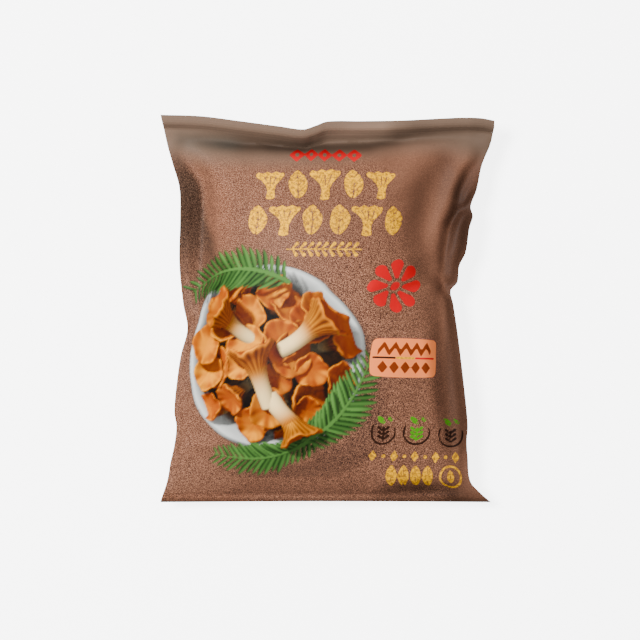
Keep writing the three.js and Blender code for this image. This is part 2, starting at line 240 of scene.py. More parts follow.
def fullness(along):
    """How full the bag is along its length: none at the seals, all of it in the middle."""
    v = np.clip(2 * (along - bottom_weld) / (top_weld - bottom_weld) - 1, -1, 1)
    return (1 - np.abs(v) ** 3) ** 0.8


def crease(x, y, width, path):
    """A dent along a path of (x, y, depth) points: a valley, or where the depth is negative a ridge."""
    nearest = np.full(x.shape, np.inf)
    depth = np.zeros(x.shape)
    for (x0, y0, depth0), (x1, y1, depth1) in zip(path, path[1:]):
        run = (x1 - x0) ** 2 + (y1 - y0) ** 2
        t = np.clip(((x - x0) * (x1 - x0) + (y - y0) * (y1 - y0)) / run, 0, 1)
        away = np.hypot(x - mix(x0, x1, t), y - mix(y0, y1, t))
        depth = np.where(away < nearest, mix(depth0, depth1, t), depth)
        nearest = np.minimum(nearest, away)
    return -depth * np.exp(-((nearest / width) ** 2))


# The dents of the slack film, the same as in the solid: (width, path).
main_creases = [
    # beside the left fold, from the top corner down
    (7.5, [(-94, 98, 2), (-84, 88, 5), (-79, 79, 8), (-76.5, 68, 10), (-75.5, 56, 10), (-75, 41, 8),
           (-75, 11, 6), (-76, -10, 3), (-81, -40, 2), (-87, -75, 1)]),
    (5, [(-84, -11, 2.5), (-76, -9, 2), (-64, -5, 0)]),
    # beside the right fold: a valley with a ridge on its inner side, and the folds' notches
    (4, [(91.5, 89, 1), (85, 82.5, 3), (79.5, 70, 4), (76.5, 60, 4.5), (73, 50.7, 4.5), (70, 35, 3),
         (68.7, 11, 1.5)]),
    (7, [(90, 98, 0), (79.5, 80, -3), (74.5, 65.7, -3.5), (68.7, 52, -3.5), (66, 40, -2.5), (63, 25, 0)]),
    (9, [(78, 96, 0), (64, 80, 2.5), (57, 64, 3), (53, 48, 1.5), (50, 34, 0)]),
    (2.8, [(90, 70, 0.5), (85.5, 62.7, 2.5), (79.5, 58.5, 3), (74, 49.5, 1.5)]),
    (4.5, [(78, 12, 2), (70, 14, 3), (62, 20, 1.5), (52, 28, 0)]),
    (5, [(67, 8, 0.5), (68, -19, 2), (71, -55, 2), (74, -85, 1.2), (78, -98, 0.5)]),
    (5, [(60, 0, 0), (58, -25, -1), (62, -60, -1.5), (66, -84, 0)]),
    (5.5, [(93, -114, 1), (80, -110, 2.5), (64, -109.5, 2.8), (45, -110, 2), (28, -112, 0)]),
    (4, [(88, 80, 0), (84, 70, -1), (81.5, 60, -1.5), (79, 50, -2), (77, 38, -2), (74, 25, -1), (72, 15, 0)]),
    # under the top seal
    (6, [(-92, 104, 1.5), (-62, 101, 4.5), (-32, 99, 6), (1, 99, 6), (25, 101, 4.5), (48, 104, 2.5),
         (70, 106, 1.5), (92, 106, 1)]),
    (5, [(-14, 104, 2), (-10, 92, 1), (-8, 84, 0)]),
    (7, [(-50, 100, 1.5), (-40, 78, 0)]),
    (7, [(45, 100, 1.5), (36, 80, 0)]),
]


def back_drop(across, along):
    """How far the back panel would hang below the side folds if nothing were under it."""
    return fold_line(along) * underside_fill * fullness(along) * (1 - np.abs(across) ** underside_power)


def front_height(across, along, creased=True):
    x, y = plan(across, along)
    level = mix(-half_length, half_length, along)
    to_fold = np.minimum(x - left_fold(level), right_fold(level) - x)
    to_weld = np.minimum(along - bottom_weld, top_weld - along) * bag_length
    middle = (body_left(y) + body_right(y)) / 2
    rise = 1 - (np.abs(x - middle) / (body_right(y) - middle)) ** crown_power
    rise = (rise + np.hypot(rise, body_bend)) / (1 + math.hypot(1, body_bend))
    body_along = (y + half_length) / (bag_length - body_top(x))
    swell = fullness(body_along) ** mix(bottom_swell, top_swell, along)
    swell = swell * smooth(0, mix(bottom_ease, top_ease, along), to_weld)
    bulge = (bag_depth - fold_height) * swell * rise * smooth(0, fold_ease, to_fold)
    slack = smooth(0, dent_ease, to_weld) * smooth(*dent_span, to_fold)
    dents = sum(crease(x, y, *c) for c in main_creases) * slack if creased else 0
    lowest = -valley_share * back_drop(across, along)
    # the dents end softly where the film is as low as it may lie
    above = bulge + dents - lowest
    soft = dent_softness * slack
    return fold_line(along) + weld_thickness / 2 + lowest + (above + np.hypot(above, soft)) / 2


fin_edges = shares_at(np.array([fin_width, fin_width + fin_groove]), np.zeros(2))[0]


def back_height(across, along):
    """It lies on the table, softly bent where it leaves it, and has a groove beside the fin's free edge."""
    height = fold_line(along) - weld_thickness / 2 - back_drop(across, along)
    bend = (height + under_bend) ** 2 / (4 * under_bend)
    lying = np.where(height < -under_bend, 0, np.where(height > under_bend, height, bend))
    t = (across - fin_edges[0]) / (fin_edges[1] - fin_edges[0])
    return lying + fin_step * smooth(0, 0.3, t) * (1 - smooth(0.7, 1, t)) * np.minimum(1, 3 * fullness(along))


def panels(across, along, creased=True):
    """The points of the front and of the back."""
    x, y = plan(across, along)
    return join(x, y, front_height(across, along, creased)), join(x, y, back_height(across, along))


# ---- The film's grid -------------------------

film_wall = 0.6
inner_gap = 0.2  # between the two walls where they lie against each other
narrow_room = (2, 5)  # between the walls: the inside goes straight down in less, square to the film in more
thinnest = 0.35  # that the front wall gets where its coarse inside spans a crease
thinning_rounds = 8
coarse_stride = 4  # of the back and the inside, in grid lines of the printed front
vent_place = (34, 88)
vent_radius = 1.5
fin_margin = 0.02  # grid lines stay close together this far beside the fin's groove


def grid_lines(*spans):
    """Lines over joined spans, each (start, end, step)."""
    runs = [np.linspace(start, end, round((end - start) / step), endpoint=False) for start, end, step in spans]
    return np.concatenate(runs + [np.array([float(spans[-1][1])])])


# Close together over the picture, in the lower left of the front.
columns = grid_lines((-1, 0.4, 0.0082), (0.4, 1, 0.0125))
rows = grid_lines((0, 0.08, 0.0045), (0.08, 0.69, 0.0031), (0.69, 1, 0.0043))
across, along = np.meshgrid(columns, rows)


def kept_lines(lines, always=lambda line: False):
    """One in every few of the grid's lines, with both ends, and those that are always needed."""
    last = len(lines) - 1
    return [i for i in range(last + 1) if i % coarse_stride == 0 or i == last or always(lines[i])]


def beside_fin(line):
    return fin_edges[0] - fin_margin < line < fin_edges[1] + fin_margin


# one so near the right fold would leave a sliver
back_columns = [c for c in kept_lines(columns, beside_fin) if c != len(columns) - 2]
# all of them at the ends and at the deepest notch of the folds
back_rows = kept_lines(rows, lambda line: line < 0.04 or 0.53 < line < 0.58 or line > 0.94)


def unit_of(vectors):
    return vectors / np.maximum(np.linalg.norm(vectors, axis=-1, keepdims=True), 1e-9)


def normals_of(points):
    """The normals of a sheet of points, up on the front."""
    return unit_of(np.cross(np.gradient(points, axis=1), np.gradient(points, axis=0)))


def lengths_along(points):
    """How far along each row of points every one of them lies from the first."""
    steps = np.linalg.norm(np.diff(points, axis=-2), axis=-1)
    return np.concatenate([np.zeros_like(steps[..., :1]), np.cumsum(steps, axis=-1)], axis=-1)


class MeshParts:
    """Points in millimetres and faces, gathered for one mesh."""

    def __init__(self):
        self.points, self.faces, self.count = [], [], 0

    def add_points(self, points):
        """Adds an array of points, and numbers them in its shape."""
        index = np.arange(points.size // 3).reshape(points.shape[:-1]) + self.count
        self.points.append(points.reshape(-1, 3))
        self.count += index.size
        return index

    def make(self, name):
        mesh = bpy.data.meshes.new(name)
        mesh.from_pydata((np.concatenate(self.points) * MM).tolist(), [], self.faces)
        mesh.update()
        return add_object(name, mesh)


def cells_of(index):
    """The four corners of each cell of a grid of numbers."""
    return join(index[:-1, :-1], index[:-1, 1:], index[1:, 1:], index[1:, :-1]).reshape(-1, 4)


def points_of(mesh):
    places = np.empty(len(mesh.vertices) * 3)
    mesh.vertices.foreach_get("co", places)
    return places.reshape(-1, 3) / MM


# ---- The filled film, as cloth ---------------
# The filled bag is worked out as cloth on a coarser grid: air inside pushes the slack film out, the welded ends,
# the folds and what lies on the table stay, and the longer film between them wrinkles.
cloth_columns = np.linspace(-1, 1, 53)
cloth_rows = np.linspace(0, 1, 63)
cloth_frames = 24
cloth_slack = 0.008  # as a share of its length
cloth_settings = {
    "quality": 8, "mass": 0.02, "tension_stiffness": 40, "compression_stiffness": 40, "shear_stiffness": 20,
    "bending_stiffness": 1.0, "shrink_min": -cloth_slack, "vertex_group_mass": "held", "use_pressure": True,
    "uniform_pressure_force": 0.6,
}
cloth_reach = 3.0  # how far the film may move out
cloth_sink = 0.4  # and how far in, so that it stays off the mushrooms
cloth_rest = 6  # what is lower than this lies on the table
weld_margin = 0.005
cloth_smoothings = 2


def steps_between(coarse, fine):
    """For each fine line its weights of the coarse ones, smooth from line to line."""
    return join(*(spline(*zip(coarse, unit))(fine) for unit in np.eye(len(coarse))))


def filled_out():
    """How far each point of the front moves when the film is worked out as cloth."""
    share_x, share_y = np.meshgrid(cloth_columns, cloth_rows)
    front, back = panels(share_x, share_y)
    parts = MeshParts()
    upper = parts.add_points(front)
    lower = upper.copy()
    lower[1:-1, 1:-1] = parts.add_points(back[1:-1, 1:-1])
    parts.faces = cells_of(upper).tolist() + cells_of(lower)[:, ::-1].tolist()
    cloth = parts.make("cloth")
    start = np.concatenate(parts.points)
    fixed = (share_y < bottom_weld + weld_margin) | (share_y > top_weld - weld_margin) | (np.abs(share_x) == 1)
    held = set(upper[fixed].tolist()) | set(np.flatnonzero(start[:, 2] < cloth_rest).tolist())
    cloth.vertex_groups.new(name="held").add(sorted(held), 1.0, "REPLACE")
    modifier = cloth.modifiers.new("cloth", "CLOTH")
    for setting, value in cloth_settings.items():
        setattr(modifier.settings, setting, value)
    modifier.settings.effector_weights.gravity = 0
    modifier.collision_settings.use_collision = False
    modifier.point_cache.frame_start, modifier.point_cache.frame_end = 1, cloth_frames
    for frame_number in range(1, cloth_frames + 1):
        bpy.context.scene.frame_set(frame_number)
    moved = points_of(cloth.evaluated_get(bpy.context.evaluated_depsgraph_get()).to_mesh())
    bpy.data.objects.remove(cloth)
    bpy.context.scene.frame_set(1)
    normal = normals_of(front)
    out = np.sum((moved - start)[upper] * normal, axis=-1)
    out = np.clip(out, -cloth_sink, cloth_reach)
    for _ in range(cloth_smoothings):
        beside = (out[:-2, 1:-1] + out[2:, 1:-1] + out[1:-1, :-2] + out[1:-1, 2:]) / 4
        out[1:-1, 1:-1] = mix(out[1:-1, 1:-1], beside, 0.5)
    move = out[..., None] * normal
    down, right = steps_between(cloth_rows, rows), steps_between(cloth_columns, columns)
    return np.einsum("ri,ijk,cj->rck", down, move, right)


class Film:
    """The skin's points, and the place of each on the flat film: right from its middle line, up from its foot."""

    def __init__(self):
        self.front, self.back = panels(across, along)
        self.front += filled_out()
        # measured over the swollen body without its creases, so that the print runs straight over them
        plain_front = panels(across, along, creased=False)[0]
        middle = np.searchsorted(columns, 0)
        width = lengths_along(plain_front)
        crown = plain_front[:, middle]
        self.right = width - width[:, middle:middle + 1]
        self.up = np.interp(plain_front[..., 1], crown[:, 1], lengths_along(crown))

    def place(self, x, y):
        """The place on the flat film of what is seen at x, y from above."""
        nearest = np.argmin((self.front[..., 0] - x) ** 2 + (self.front[..., 1] - y) ** 2)
        return self.right.flat[nearest], self.up.flat[nearest]

    def print_space(self, x, y, width, height, turn=0.0):
        """Coordinates in millimetres for a mark whose middle is seen at x, y, stretched as the film is there."""
        middle = self.place(x, y)
        wide = (self.place(x + width / 2, y)[0] - self.place(x - width / 2, y)[0]) / width
        tall = (self.place(x, y + height / 2)[1] - self.place(x, y - height / 2)[1]) / height
        u = (self.right - middle[0]) / wide
        v = (self.up - middle[1]) / tall
        u, v = u * math.cos(turn) + v * math.sin(turn), v * math.cos(turn) - u * math.sin(turn)
        return u, v


# ---- Print marks -----------------------------
# Each is a signed distance in millimetres, negative inside, over arrays of coordinates u and v.

far_off = 5.0  # no mark is nearer than this


def disc(u, v, radius):
    return np.hypot(u, v) - radius


def stroke(u, v, start, end, width, end_width=None):
    """A line with round ends, that may taper."""
    (x0, y0), (x1, y1) = start, end
    t = ((u - x0) * (x1 - x0) + (v - y0) * (y1 - y0)) / ((x1 - x0) ** 2 + (y1 - y0) ** 2)
    t = np.clip(t, 0, 1)
    half = mix(width, width if end_width is None else end_width, t) / 2
    return np.hypot(u - mix(x0, x1, t), v - mix(y0, y1, t)) - half


def lozenge(u, v, width, height):
    return (np.abs(u) * height + np.abs(v) * width - width * height / 2) / math.hypot(width, height)


def rounded_label(u, v, width, height, radius):
    outside_u = np.abs(u) - width / 2 + radius
    outside_v = np.abs(v) - height / 2 + radius
    outside = np.hypot(np.maximum(outside_u, 0), np.maximum(outside_v, 0))
    return outside + np.minimum(np.maximum(outside_u, outside_v), 0) - radius


def outline(u, v, points):
    """A closed shape with corners at the points."""
    nearest = np.full(u.shape, np.inf)
    inside = np.zeros(u.shape, bool)
    for (x0, y0), (x1, y1) in zip(points, points[1:] + points[:1]):
        nearest = np.minimum(nearest, stroke(u, v, (x0, y0), (x1, y1), 0))
        if y0 != y1:
            crossing = mix(x0, x1, (v - y0) / (y1 - y0))
            inside ^= ((v > y0) != (v > y1)) & (u < crossing)
    return np.where(inside, -nearest, nearest)


def cut(shape, hole):
    return np.maximum(shape, -hole)


def union(*shapes):
    return np.minimum.reduce(shapes)


def chanterelle_mark(u, v, height):
    """A chanterelle from the side: a wavy funnel on a stem, with gaps between its ridges."""
    side = [(-0.15, -0.5), (-0.12, -0.2), (-0.19, 0), (-0.37, 0.2), (-0.5, 0.29), (-0.51, 0.4), (-0.4, 0.47),
            (-0.25, 0.41), (-0.1, 0.5), (0.05, 0.42), (0.22, 0.5), (0.37, 0.43), (0.49, 0.44), (0.51, 0.33),
            (0.38, 0.19), (0.2, 0), (0.13, -0.2), (0.17, -0.5), (0, -0.54)]
    mark = outline(u / height, v / height, side) * height
    for foot, top in ((-0.06, -0.2), (0.0, 0.0), (0.07, 0.21)):
        gap = stroke(u, v, (foot * height, -0.05 * height), (top * height, 0.3 * height), 0.45, 0.9)
        mark = cut(mark, gap)
    return mark


def leaf_mark(u, v, length, width, veins=3):
    """A pointed leaf standing on its stalk, with its midrib and veins left open."""
    spread = (length ** 2 + width ** 2) / (4 * width)  # radius of its two edges
    mark = np.maximum(disc(u - width / 2 + spread, v, spread), disc(u + width / 2 - spread, v, spread))
    mark = cut(mark, stroke(u, v, (0, -length / 2), (0, length * 0.38), 0.8, 0.4))
    for i in range(veins):
        foot = length * (0.12 + 0.24 * i - 0.4)
        vein = stroke(np.abs(u), v, (0, foot), (width * 0.42, foot + width * 0.42), 0.6, 0.4)
        mark = cut(mark, vein)
    return mark


def leaf_pair(u, v, size):
    """Two small leaves that part from one stalk."""
    turned = ((u + v) * math.sqrt(0.5), (v - u) * math.sqrt(0.5))
    left = leaf_mark(turned[0] + size * 0.1, turned[1] - size * 0.5, size, size * 0.5, 0)
    right = leaf_mark(turned[0] - size * 0.55, turned[1] + size * 0.05, size * 0.7, size * 0.36, 0)
    return union(left, right)


def rosette(u, v, petals, radius):
    """Petals round the middle: one, and the plane folded onto it."""
    angle = np.arctan2(v, u)
    turn = 2 * np.pi / petals
    angle = (angle + turn / 2) % turn - turn / 2
    reach = np.hypot(u, v)
    fold_u, fold_v = reach * np.cos(angle), reach * np.sin(angle)
    return stroke(fold_u, fold_v, (radius * 0.36, 0), (radius * 0.76, 0), radius * 0.16, radius * 0.46)


def sized(mark, *sizes):
    """A mark of fixed sizes, as a function of u and v."""
    return lambda u, v: mark(u, v, *sizes)


def frieze(u, v, pitch, marks):
    """Marks side by side about the middle, each a function of u and v."""
    first = -pitch * (len(marks) - 1) / 2
    return union(*(mark(u - first - i * pitch, v) for i, mark in enumerate(marks)))


def zigzag(u, v, pitch, rise, width, reach):
    wave = rise * (2 * np.abs((u / pitch) % 1 - 0.5) - 0.5)
    slope = math.hypot(1, 2 * rise / pitch)
    return np.maximum((np.abs(v - wave) - width / 2 * slope) / slope, np.abs(u) - reach)


label_slant = math.radians(-2.3)  # of the label and what is under it
bar_ends = 0.4  # the radius of a short bar's corners
ring_places = ((32.7, -72.9), (53.1, -73.5), (73.5, -75.3))


def bead(u, v):
    return cut(lozenge(u, v, 9.4, 8.4), disc(u, v, 1.3))


def print_marks(film):
    """The nearest mark in each ink, as a distance for each point of the front."""
    inks = {ink: [] for ink in ink_colours}

    def put(ink, *shapes):
        inks[ink].extend(shapes)

    def mushroom(height):
        return sized(chanterelle_mark, height)

    def leaf(length):
        return sized(leaf_mark, length, length * 0.62)

    # from the top down a chain, two rows of mushrooms and leaves, and a sprig
    u, v = film.print_space(-2.1, 92, 43, 8)
    put("red", frieze(u, v, 8.6, [bead] * 5))
    u, v = film.print_space(-1.5, 74, 79, 18)
    put("gold", frieze(u, v, 16.6, [mushroom(17), leaf(18), mushroom(18.5), leaf(18), mushroom(17)]))
    u, v = film.print_space(-1.2, 52, 92, 19)
    put("gold", frieze(u, v, 16, [leaf(18), mushroom(18), leaf(18.5), leaf(18.5), mushroom(18), leaf(18)]))
    u, v = film.print_space(-1.8, 34.5, 44, 8)
    barb = sized(stroke, (-1.2, 0.6), (1.4, 3.4), 0.6, 2.1)
    put("gold", stroke(u, v, (-22, 0), (22, 0), 0.8), frieze(u, np.abs(v), 4.4, [barb] * 9))

    # a rosette
    u, v = film.print_space(40, 13, 30, 30)
    put("red", cut(rosette(u, v, 8, 16), disc(u, v, 4)), disc(u, v, 2.6))

    # the label, whose sides bulge
    u, v = film.print_space(45.6, -29.4, 38, 23, label_slant)
    put("salmon", rounded_label(u, v, 38 + 1.2 * np.cos(v / 7), 22 + 1.2 * np.cos(u / 12), 2.5))
    put("rust", zigzag(u, v - 5.4, 6.4, 5.2, 1.9, 16), frieze(u, v + 5.6, 6.4, [sized(lozenge, 5.6, 7.6)] * 5))
    for ink, left, length, thickness in (("umber", 12, 13, 1.1), ("red", -12, 13, 1.1), ("gold", 0, 11, 1.4)):
        put(ink, rounded_label(u + left, v, length, thickness, bar_ends))

    # three rings, each with an ear of grain and a pair of leaves
    for x, y in ring_places:
        u, v = film.print_space(x, y, 15, 15)
        put("umber", cut(np.abs(disc(u, v, 7.4)) - 0.6, rounded_label(u - 1, v - 7, 14, 9, 1)))
        put("green", leaf_pair(u - 2, v - 5.2, 6.6))
        grains = [stroke(np.abs(u), v, (0.2, h), (3.0, h + 2.2), 0.6, 1.7) for h in (-4.6, -2.0, 0.6)]
        ear = union(stroke(u, v, (0, -5.6), (0, 3), 0.8), *grains)
        put("green" if (x, y) == ring_places[1] else "umber", ear)

    # lozenges with beads between them, seeds, and a leaf in a ring
    u, v = film.print_space(52.5, -88.2, 56, 8, label_slant)
    stone = sized(lozenge, 4.6, 7)
    put("gold", frieze(u, v, 6.2, [stone, sized(disc, 1.1)] * 4 + [stone]))
    u, v = film.print_space(49, -100.5, 28, 14, label_slant)
    put("gold", frieze(u, v, 7.6, [sized(leaf_mark, 13, 6.6, 0)] * 4))
    u, v = film.print_space(73.5, -101, 14, 12, label_slant)
    put("gold", np.abs(disc(u, v, 6)) - 0.6, leaf_mark(u, v, 8, 4, 0))
    return {ink: np.minimum(union(*shapes), far_off) for ink, shapes in inks.items()}


# ---- Painted shade, and the speckle of the print ---

# Painted shade multiplied into the print's colour, or a painted highlight where the share is negative, (half width,
# path of (x, y, share)): round both seals, in the hollow of the right shoulder, inside the left fold, and in wide
# patches over the front.
painted_shade_bands = [
    (5, [(-88, 101.5, 0.35), (-62, 99, 0.66), (-33, 97.5, 0.68), (0, 96.5, 0.64), (25, 97.5, 0.62),
         (43, 102, 0.55), (60, 104.5, 0.4), (75, 106, 0.2), (92, 106, 0.1)]),
    (4, [(-2, 105, 0), (15, 107, -0.35), (33, 108.5, -0.45), (42, 109, 0)]),
    (3.5, [(43, 110, 0), (52, 109.5, 0.2), (66, 109, 0.08), (80, 109, 0.1), (98, 109, 0.15)]),
    (7, [(67, 89, 0.15), (59, 78, 0.25), (55.5, 70, 0.3), (55, 62, 0.3), (50, 50, 0.2), (48, 36, 0.1)]),
    (6, [(28, -114, 0), (36, -110, 0.35), (45, -108, 0.5), (57, -108.5, 0.6), (71, -110, 0.5), (82, -114, 0.2)]),
    (14, [(-90, -108, 0.1), (-40, -104, 0.05), (10, -108, 0.05), (80, -112, 0.15)]),
    (3, [(-97, -114, -0.2), (-60, -114, -0.3), (0, -114, -0.3), (22, -114, -0.2), (32, -114, 0)]),
    (9, [(66, 98, 0.1), (71, 88, 0.35), (72, 80, 0.4), (70, 70, 0.35), (66, 58, 0.15), (63, 46, 0)]),
    (8, [(66, 106, 0), (76, 102, 0.15), (85, 100, 0.2), (96, 100, 0.2)]),
    (20, [(-25, 56, 0), (-8, 56, 0.1), (12, 50, 0.16), (25, 42, 0.06), (30, 38, 0)]),
    (17, [(34, 4, -0.08), (37, -8, -0.22), (46, -12, -0.22), (56, -8, -0.08)]),
    (6, [(-67, 82, 0), (-65, 70, -0.15), (-64, 50, -0.2), (-62, 34, -0.1), (-61, 28, 0)]),
    (16, [(-30, -98, -0.05), (0, -95, -0.12), (25, -90, -0.14), (34, -80, -0.08)]),
]
# Painted shade darkens it beside the folds too, outside of these lines (y, x), by these shares (y, share).
left_shade = (
    spline((-60, -72), (0, -68), (25, -66), (39, -67.5), (45, -70), (55, -73.3), (65, -75), (73, -76), (80, -80),
           (91, -88), (100, -96)),
    spline((-60, 0), (0, 0.15), (25, 0.3), (40, 0.57), (55, 0.64), (75, 0.66), (86, 0.5), (96, 0.1), (100, 0)))
right_shade = (
    spline((-116, 72), (-92, 73), (-79, 71), (-55, 69), (-30, 69), (10, 69.5), (30, 68.5), (53, 73), (62, 75),
           (75, 77), (90, 86)),
    spline((-116, 0.2), (-92, 0.3), (-79, 0.5), (-55, 0.6), (30, 0.65), (45, 0.75), (62, 0.75), (75, 0.6),
           (88, 0.42), (100, 0.1)))
left_softness, right_softness = 3, 3.5
left_tint = np.array((1, 0.8, 0.7))  # powers of the painted light in red, green and blue: the painted shade turns greyer as it darkens
# The print turns plain and grey towards the top seal, about this line (x, y).
plain_line = spline((-100, 94), (-88, 94), (-75, 92), (-60, 91), (-30, 90), (0, 92), (25, 95), (45, 98), (60, 99),
                    (72, 98), (85, 95), (100, 91))
# Right of this line (y, x) it has little speckle.
speckle_line = spline((-116, 76), (-55, 68), (5, 58), (47, 44), (60, 40), (83, 32), (100, 10))


def plain_share(x, y):
    """How plain and grey the print is at a place seen from above."""
    return smooth(-11, 6, y - plain_line(x))


def speckle_share(x, y):
    """How strong the print's speckle is at a place seen from above: strongest in the middle."""
    share = 0.72 + 0.28 * np.exp(-((x - 20) / 35) ** 2) * smooth(60, 5, y) * smooth(-120, -80, y)
    share *= mix(1, 0.3, smooth(-10, 10, x - speckle_line(y)))
    return share * mix(1, 0.6, smooth(-16, 0, y - plain_line(x)))


def painted_light(x, y):
    """The painted shade and highlights: the shares of the print's red, green and blue left at a place seen from
    above.
    """
    shade = -sum(crease(x, y, *band) for band in painted_shade_bands)
    shade += left_shade[1](y) * smooth(left_softness, -left_softness, x - left_shade[0](y))
    shade += right_shade[1](y) * smooth(-right_softness, right_softness, x - right_shade[0](y))
    light = 1 - np.clip(shade, -0.6, 0.8)
    return light[..., None] ** mix_each(1, left_tint, smooth(-45, -60, x))


# ---- The printed picture ---------------------
# Chanterelles heaped on a round plate, with fern. They are modelled in millimetres over the flat film, lit, and
# looked at from straight above, once for each point of the front that they can reach.

picture_middle = (-34, -30)  # of the plate, where it is seen on the bag
plate_radius = 56
sunlight = np.array((-0.5, 0.45, 0.75)) / np.linalg.norm((-0.5, 0.45, 0.75))
sky_share = 0.45
sky_rays = 10  # a sample
sun_rays = 3
sun_blur = 0.07  # how far the sun's rays part, as a share of their length
samples_across = 2  # rays a point takes each way
full_light = 1.35  # of the sky and the sun together
gleam_power = 14
warmth = 0.4  # how much redder light gets that goes from cap to cap
shadow_strength = 0.5  # on the print beside the plate
plain_print = 0.01  # the colour of that shadow
eye_level = 200
ray_lift = 0.3  # rays to the light start this far off what they leave
picture_reach = (80, 78)  # right, and up and down
picture_fade = 62  # where it begins to fade at the right
foot_fade = (18, 26)  # and above the bottom seal, on the flat film

cap_orange = np.array((0.32, 0.053, 0.0))
cap_yellow = np.array((0.45, 0.138, 0.0))
gill_dark = np.array((0.12, 0.022, 0.0))
cap_gleam = np.array((0.45, 0.19, 0.0))
orange_blue = 0.002  # caps and gills have less blue than this
stem_cream = np.array((0.86, 0.60, 0.26))
plate_white = np.array((0.55, 0.56, 0.53))
plate_juice = np.array((0.16, 0.045, 0.006))  # where the mushrooms lie
fern_green = np.array((0.006, 0.026, 0.004))
fern_light = np.array((0.075, 0.19, 0.036))

# Along a chanterelle from its foot over the rim to the bottom of the hollow: (place, value).
rise_of = spline((0, 0), (0.04, 0), (0.1, 0.03), (0.35, 0.42), (0.5, 0.62), (0.65, 0.8), (0.76, 0.91),
                 (0.82, 0.97), (0.87, 1.0), (0.93, 0.93), (1, 0.9))
stem_of = spline((0, 0), (0.04, 0.8), (0.1, 1.0), (0.35, 0.95), (0.5, 0.85), (0.65, 0.3), (0.76, 0), (1, 0))
cap_of = spline((0, 0), (0.35, 0.04), (0.5, 0.16), (0.65, 0.55), (0.76, 0.9), (0.82, 1.0), (0.87, 0.93),
                (0.94, 0.5), (1, 0))


class Heap(MeshParts):
    """Triangles with a colour at each corner, that rays can be cast at."""

    def __init__(self):
        super().__init__()
        self.colours = []

    def add_sheet(self, points, colours, closed=False):
        """A sheet of rows and columns; a closed one runs round, and its last column joins the first."""
        index = self.add_points(points)
        if closed:
            index = np.concatenate([index, index[:, :1]], axis=1)
        cells = cells_of(index)
        self.faces += [cells[:, :3], cells[:, [0, 2, 3]]]
        self.colours.append(colours.reshape(-1, 3))

    def finish(self):
        self.points, self.colours, self.faces = map(np.concatenate, (self.points, self.colours, self.faces))
        corner = self.points[self.faces]
        face_normal = np.cross(corner[:, 1] - corner[:, 0], corner[:, 2] - corner[:, 0])
        self.normals = np.zeros_like(self.points)
        for i in range(3):
            np.add.at(self.normals, self.faces[:, i], face_normal)
        self.normals = unit_of(self.normals)
        self.tree = BVHTree.FromPolygons(self.points.tolist(), self.faces.tolist())

    def look_down(self, x, y):
        """What is seen at each place from above: face numbers, -1 where nothing is, and points."""
        face = np.full(x.shape, -1)
        place = np.zeros(x.shape + (3,))
        down = Vector((0, 0, -1))
        for i, (px, py) in enumerate(zip(x.tolist(), y.tolist())):
            hit, _, number, _ = self.tree.ray_cast(Vector((px, py, eye_level)), down)
            if hit is not None:
                face[i] = number
                place[i] = hit
        return face, place

    def lit_from(self, places, normals, way):
        """How brightly each place is lit from one direction: not at all where something is in the way."""
        facing = np.clip(normals @ way, 0, 1)
        cast, direction = self.tree.ray_cast, Vector(way)
        clear = [amount > 0 and cast(Vector(place), direction)[0] is None
                 for place, amount in zip(places.tolist(), facing.tolist())]
        return facing * clear

    def at(self, face, place):
        """The smooth colour and normal at places on faces."""
        corners = self.points[self.faces[face]]
        edge_1, edge_2 = corners[:, 1] - corners[:, 0], corners[:, 2] - corners[:, 0]
        offset = place - corners[:, 0]
        d11, d12, d22 = (np.sum(a * b, axis=1) for a, b in ((edge_1, edge_1), (edge_1, edge_2), (edge_2, edge_2)))
        p1, p2 = np.sum(offset * edge_1, axis=1), np.sum(offset * edge_2, axis=1)
        area = np.maximum(d11 * d22 - d12 * d12, 1e-12)
        b1, b2 = (d22 * p1 - d12 * p2) / area, (d11 * p2 - d12 * p1) / area
        weights = join(1 - b1 - b2, b1, b2)[..., None]
        colour, normal = (
            np.sum(values[self.faces[face]] * weights, axis=1) for values in (self.colours, self.normals))
        normal = unit_of(normal)
        return colour, np.where(normal[:, 2:] < 0, -normal, normal)


def turned(points, axis, angle):
    """Points turned about one of the three axes through the origin."""
    a, b = [(1, 2), (2, 0), (0, 1)][axis]
    out = points.copy()
    out[..., a] = points[..., a] * math.cos(angle) - points[..., b] * math.sin(angle)
    out[..., b] = points[..., a] * math.sin(angle) + points[..., b] * math.cos(angle)
    return out


def round_grid(low, steps, around):
    """Shares from low to 1 outward, and angles all the way round."""
    return np.meshgrid(np.linspace(low, 1, steps), np.arange(around) * 2 * np.pi / around, indexing="ij")


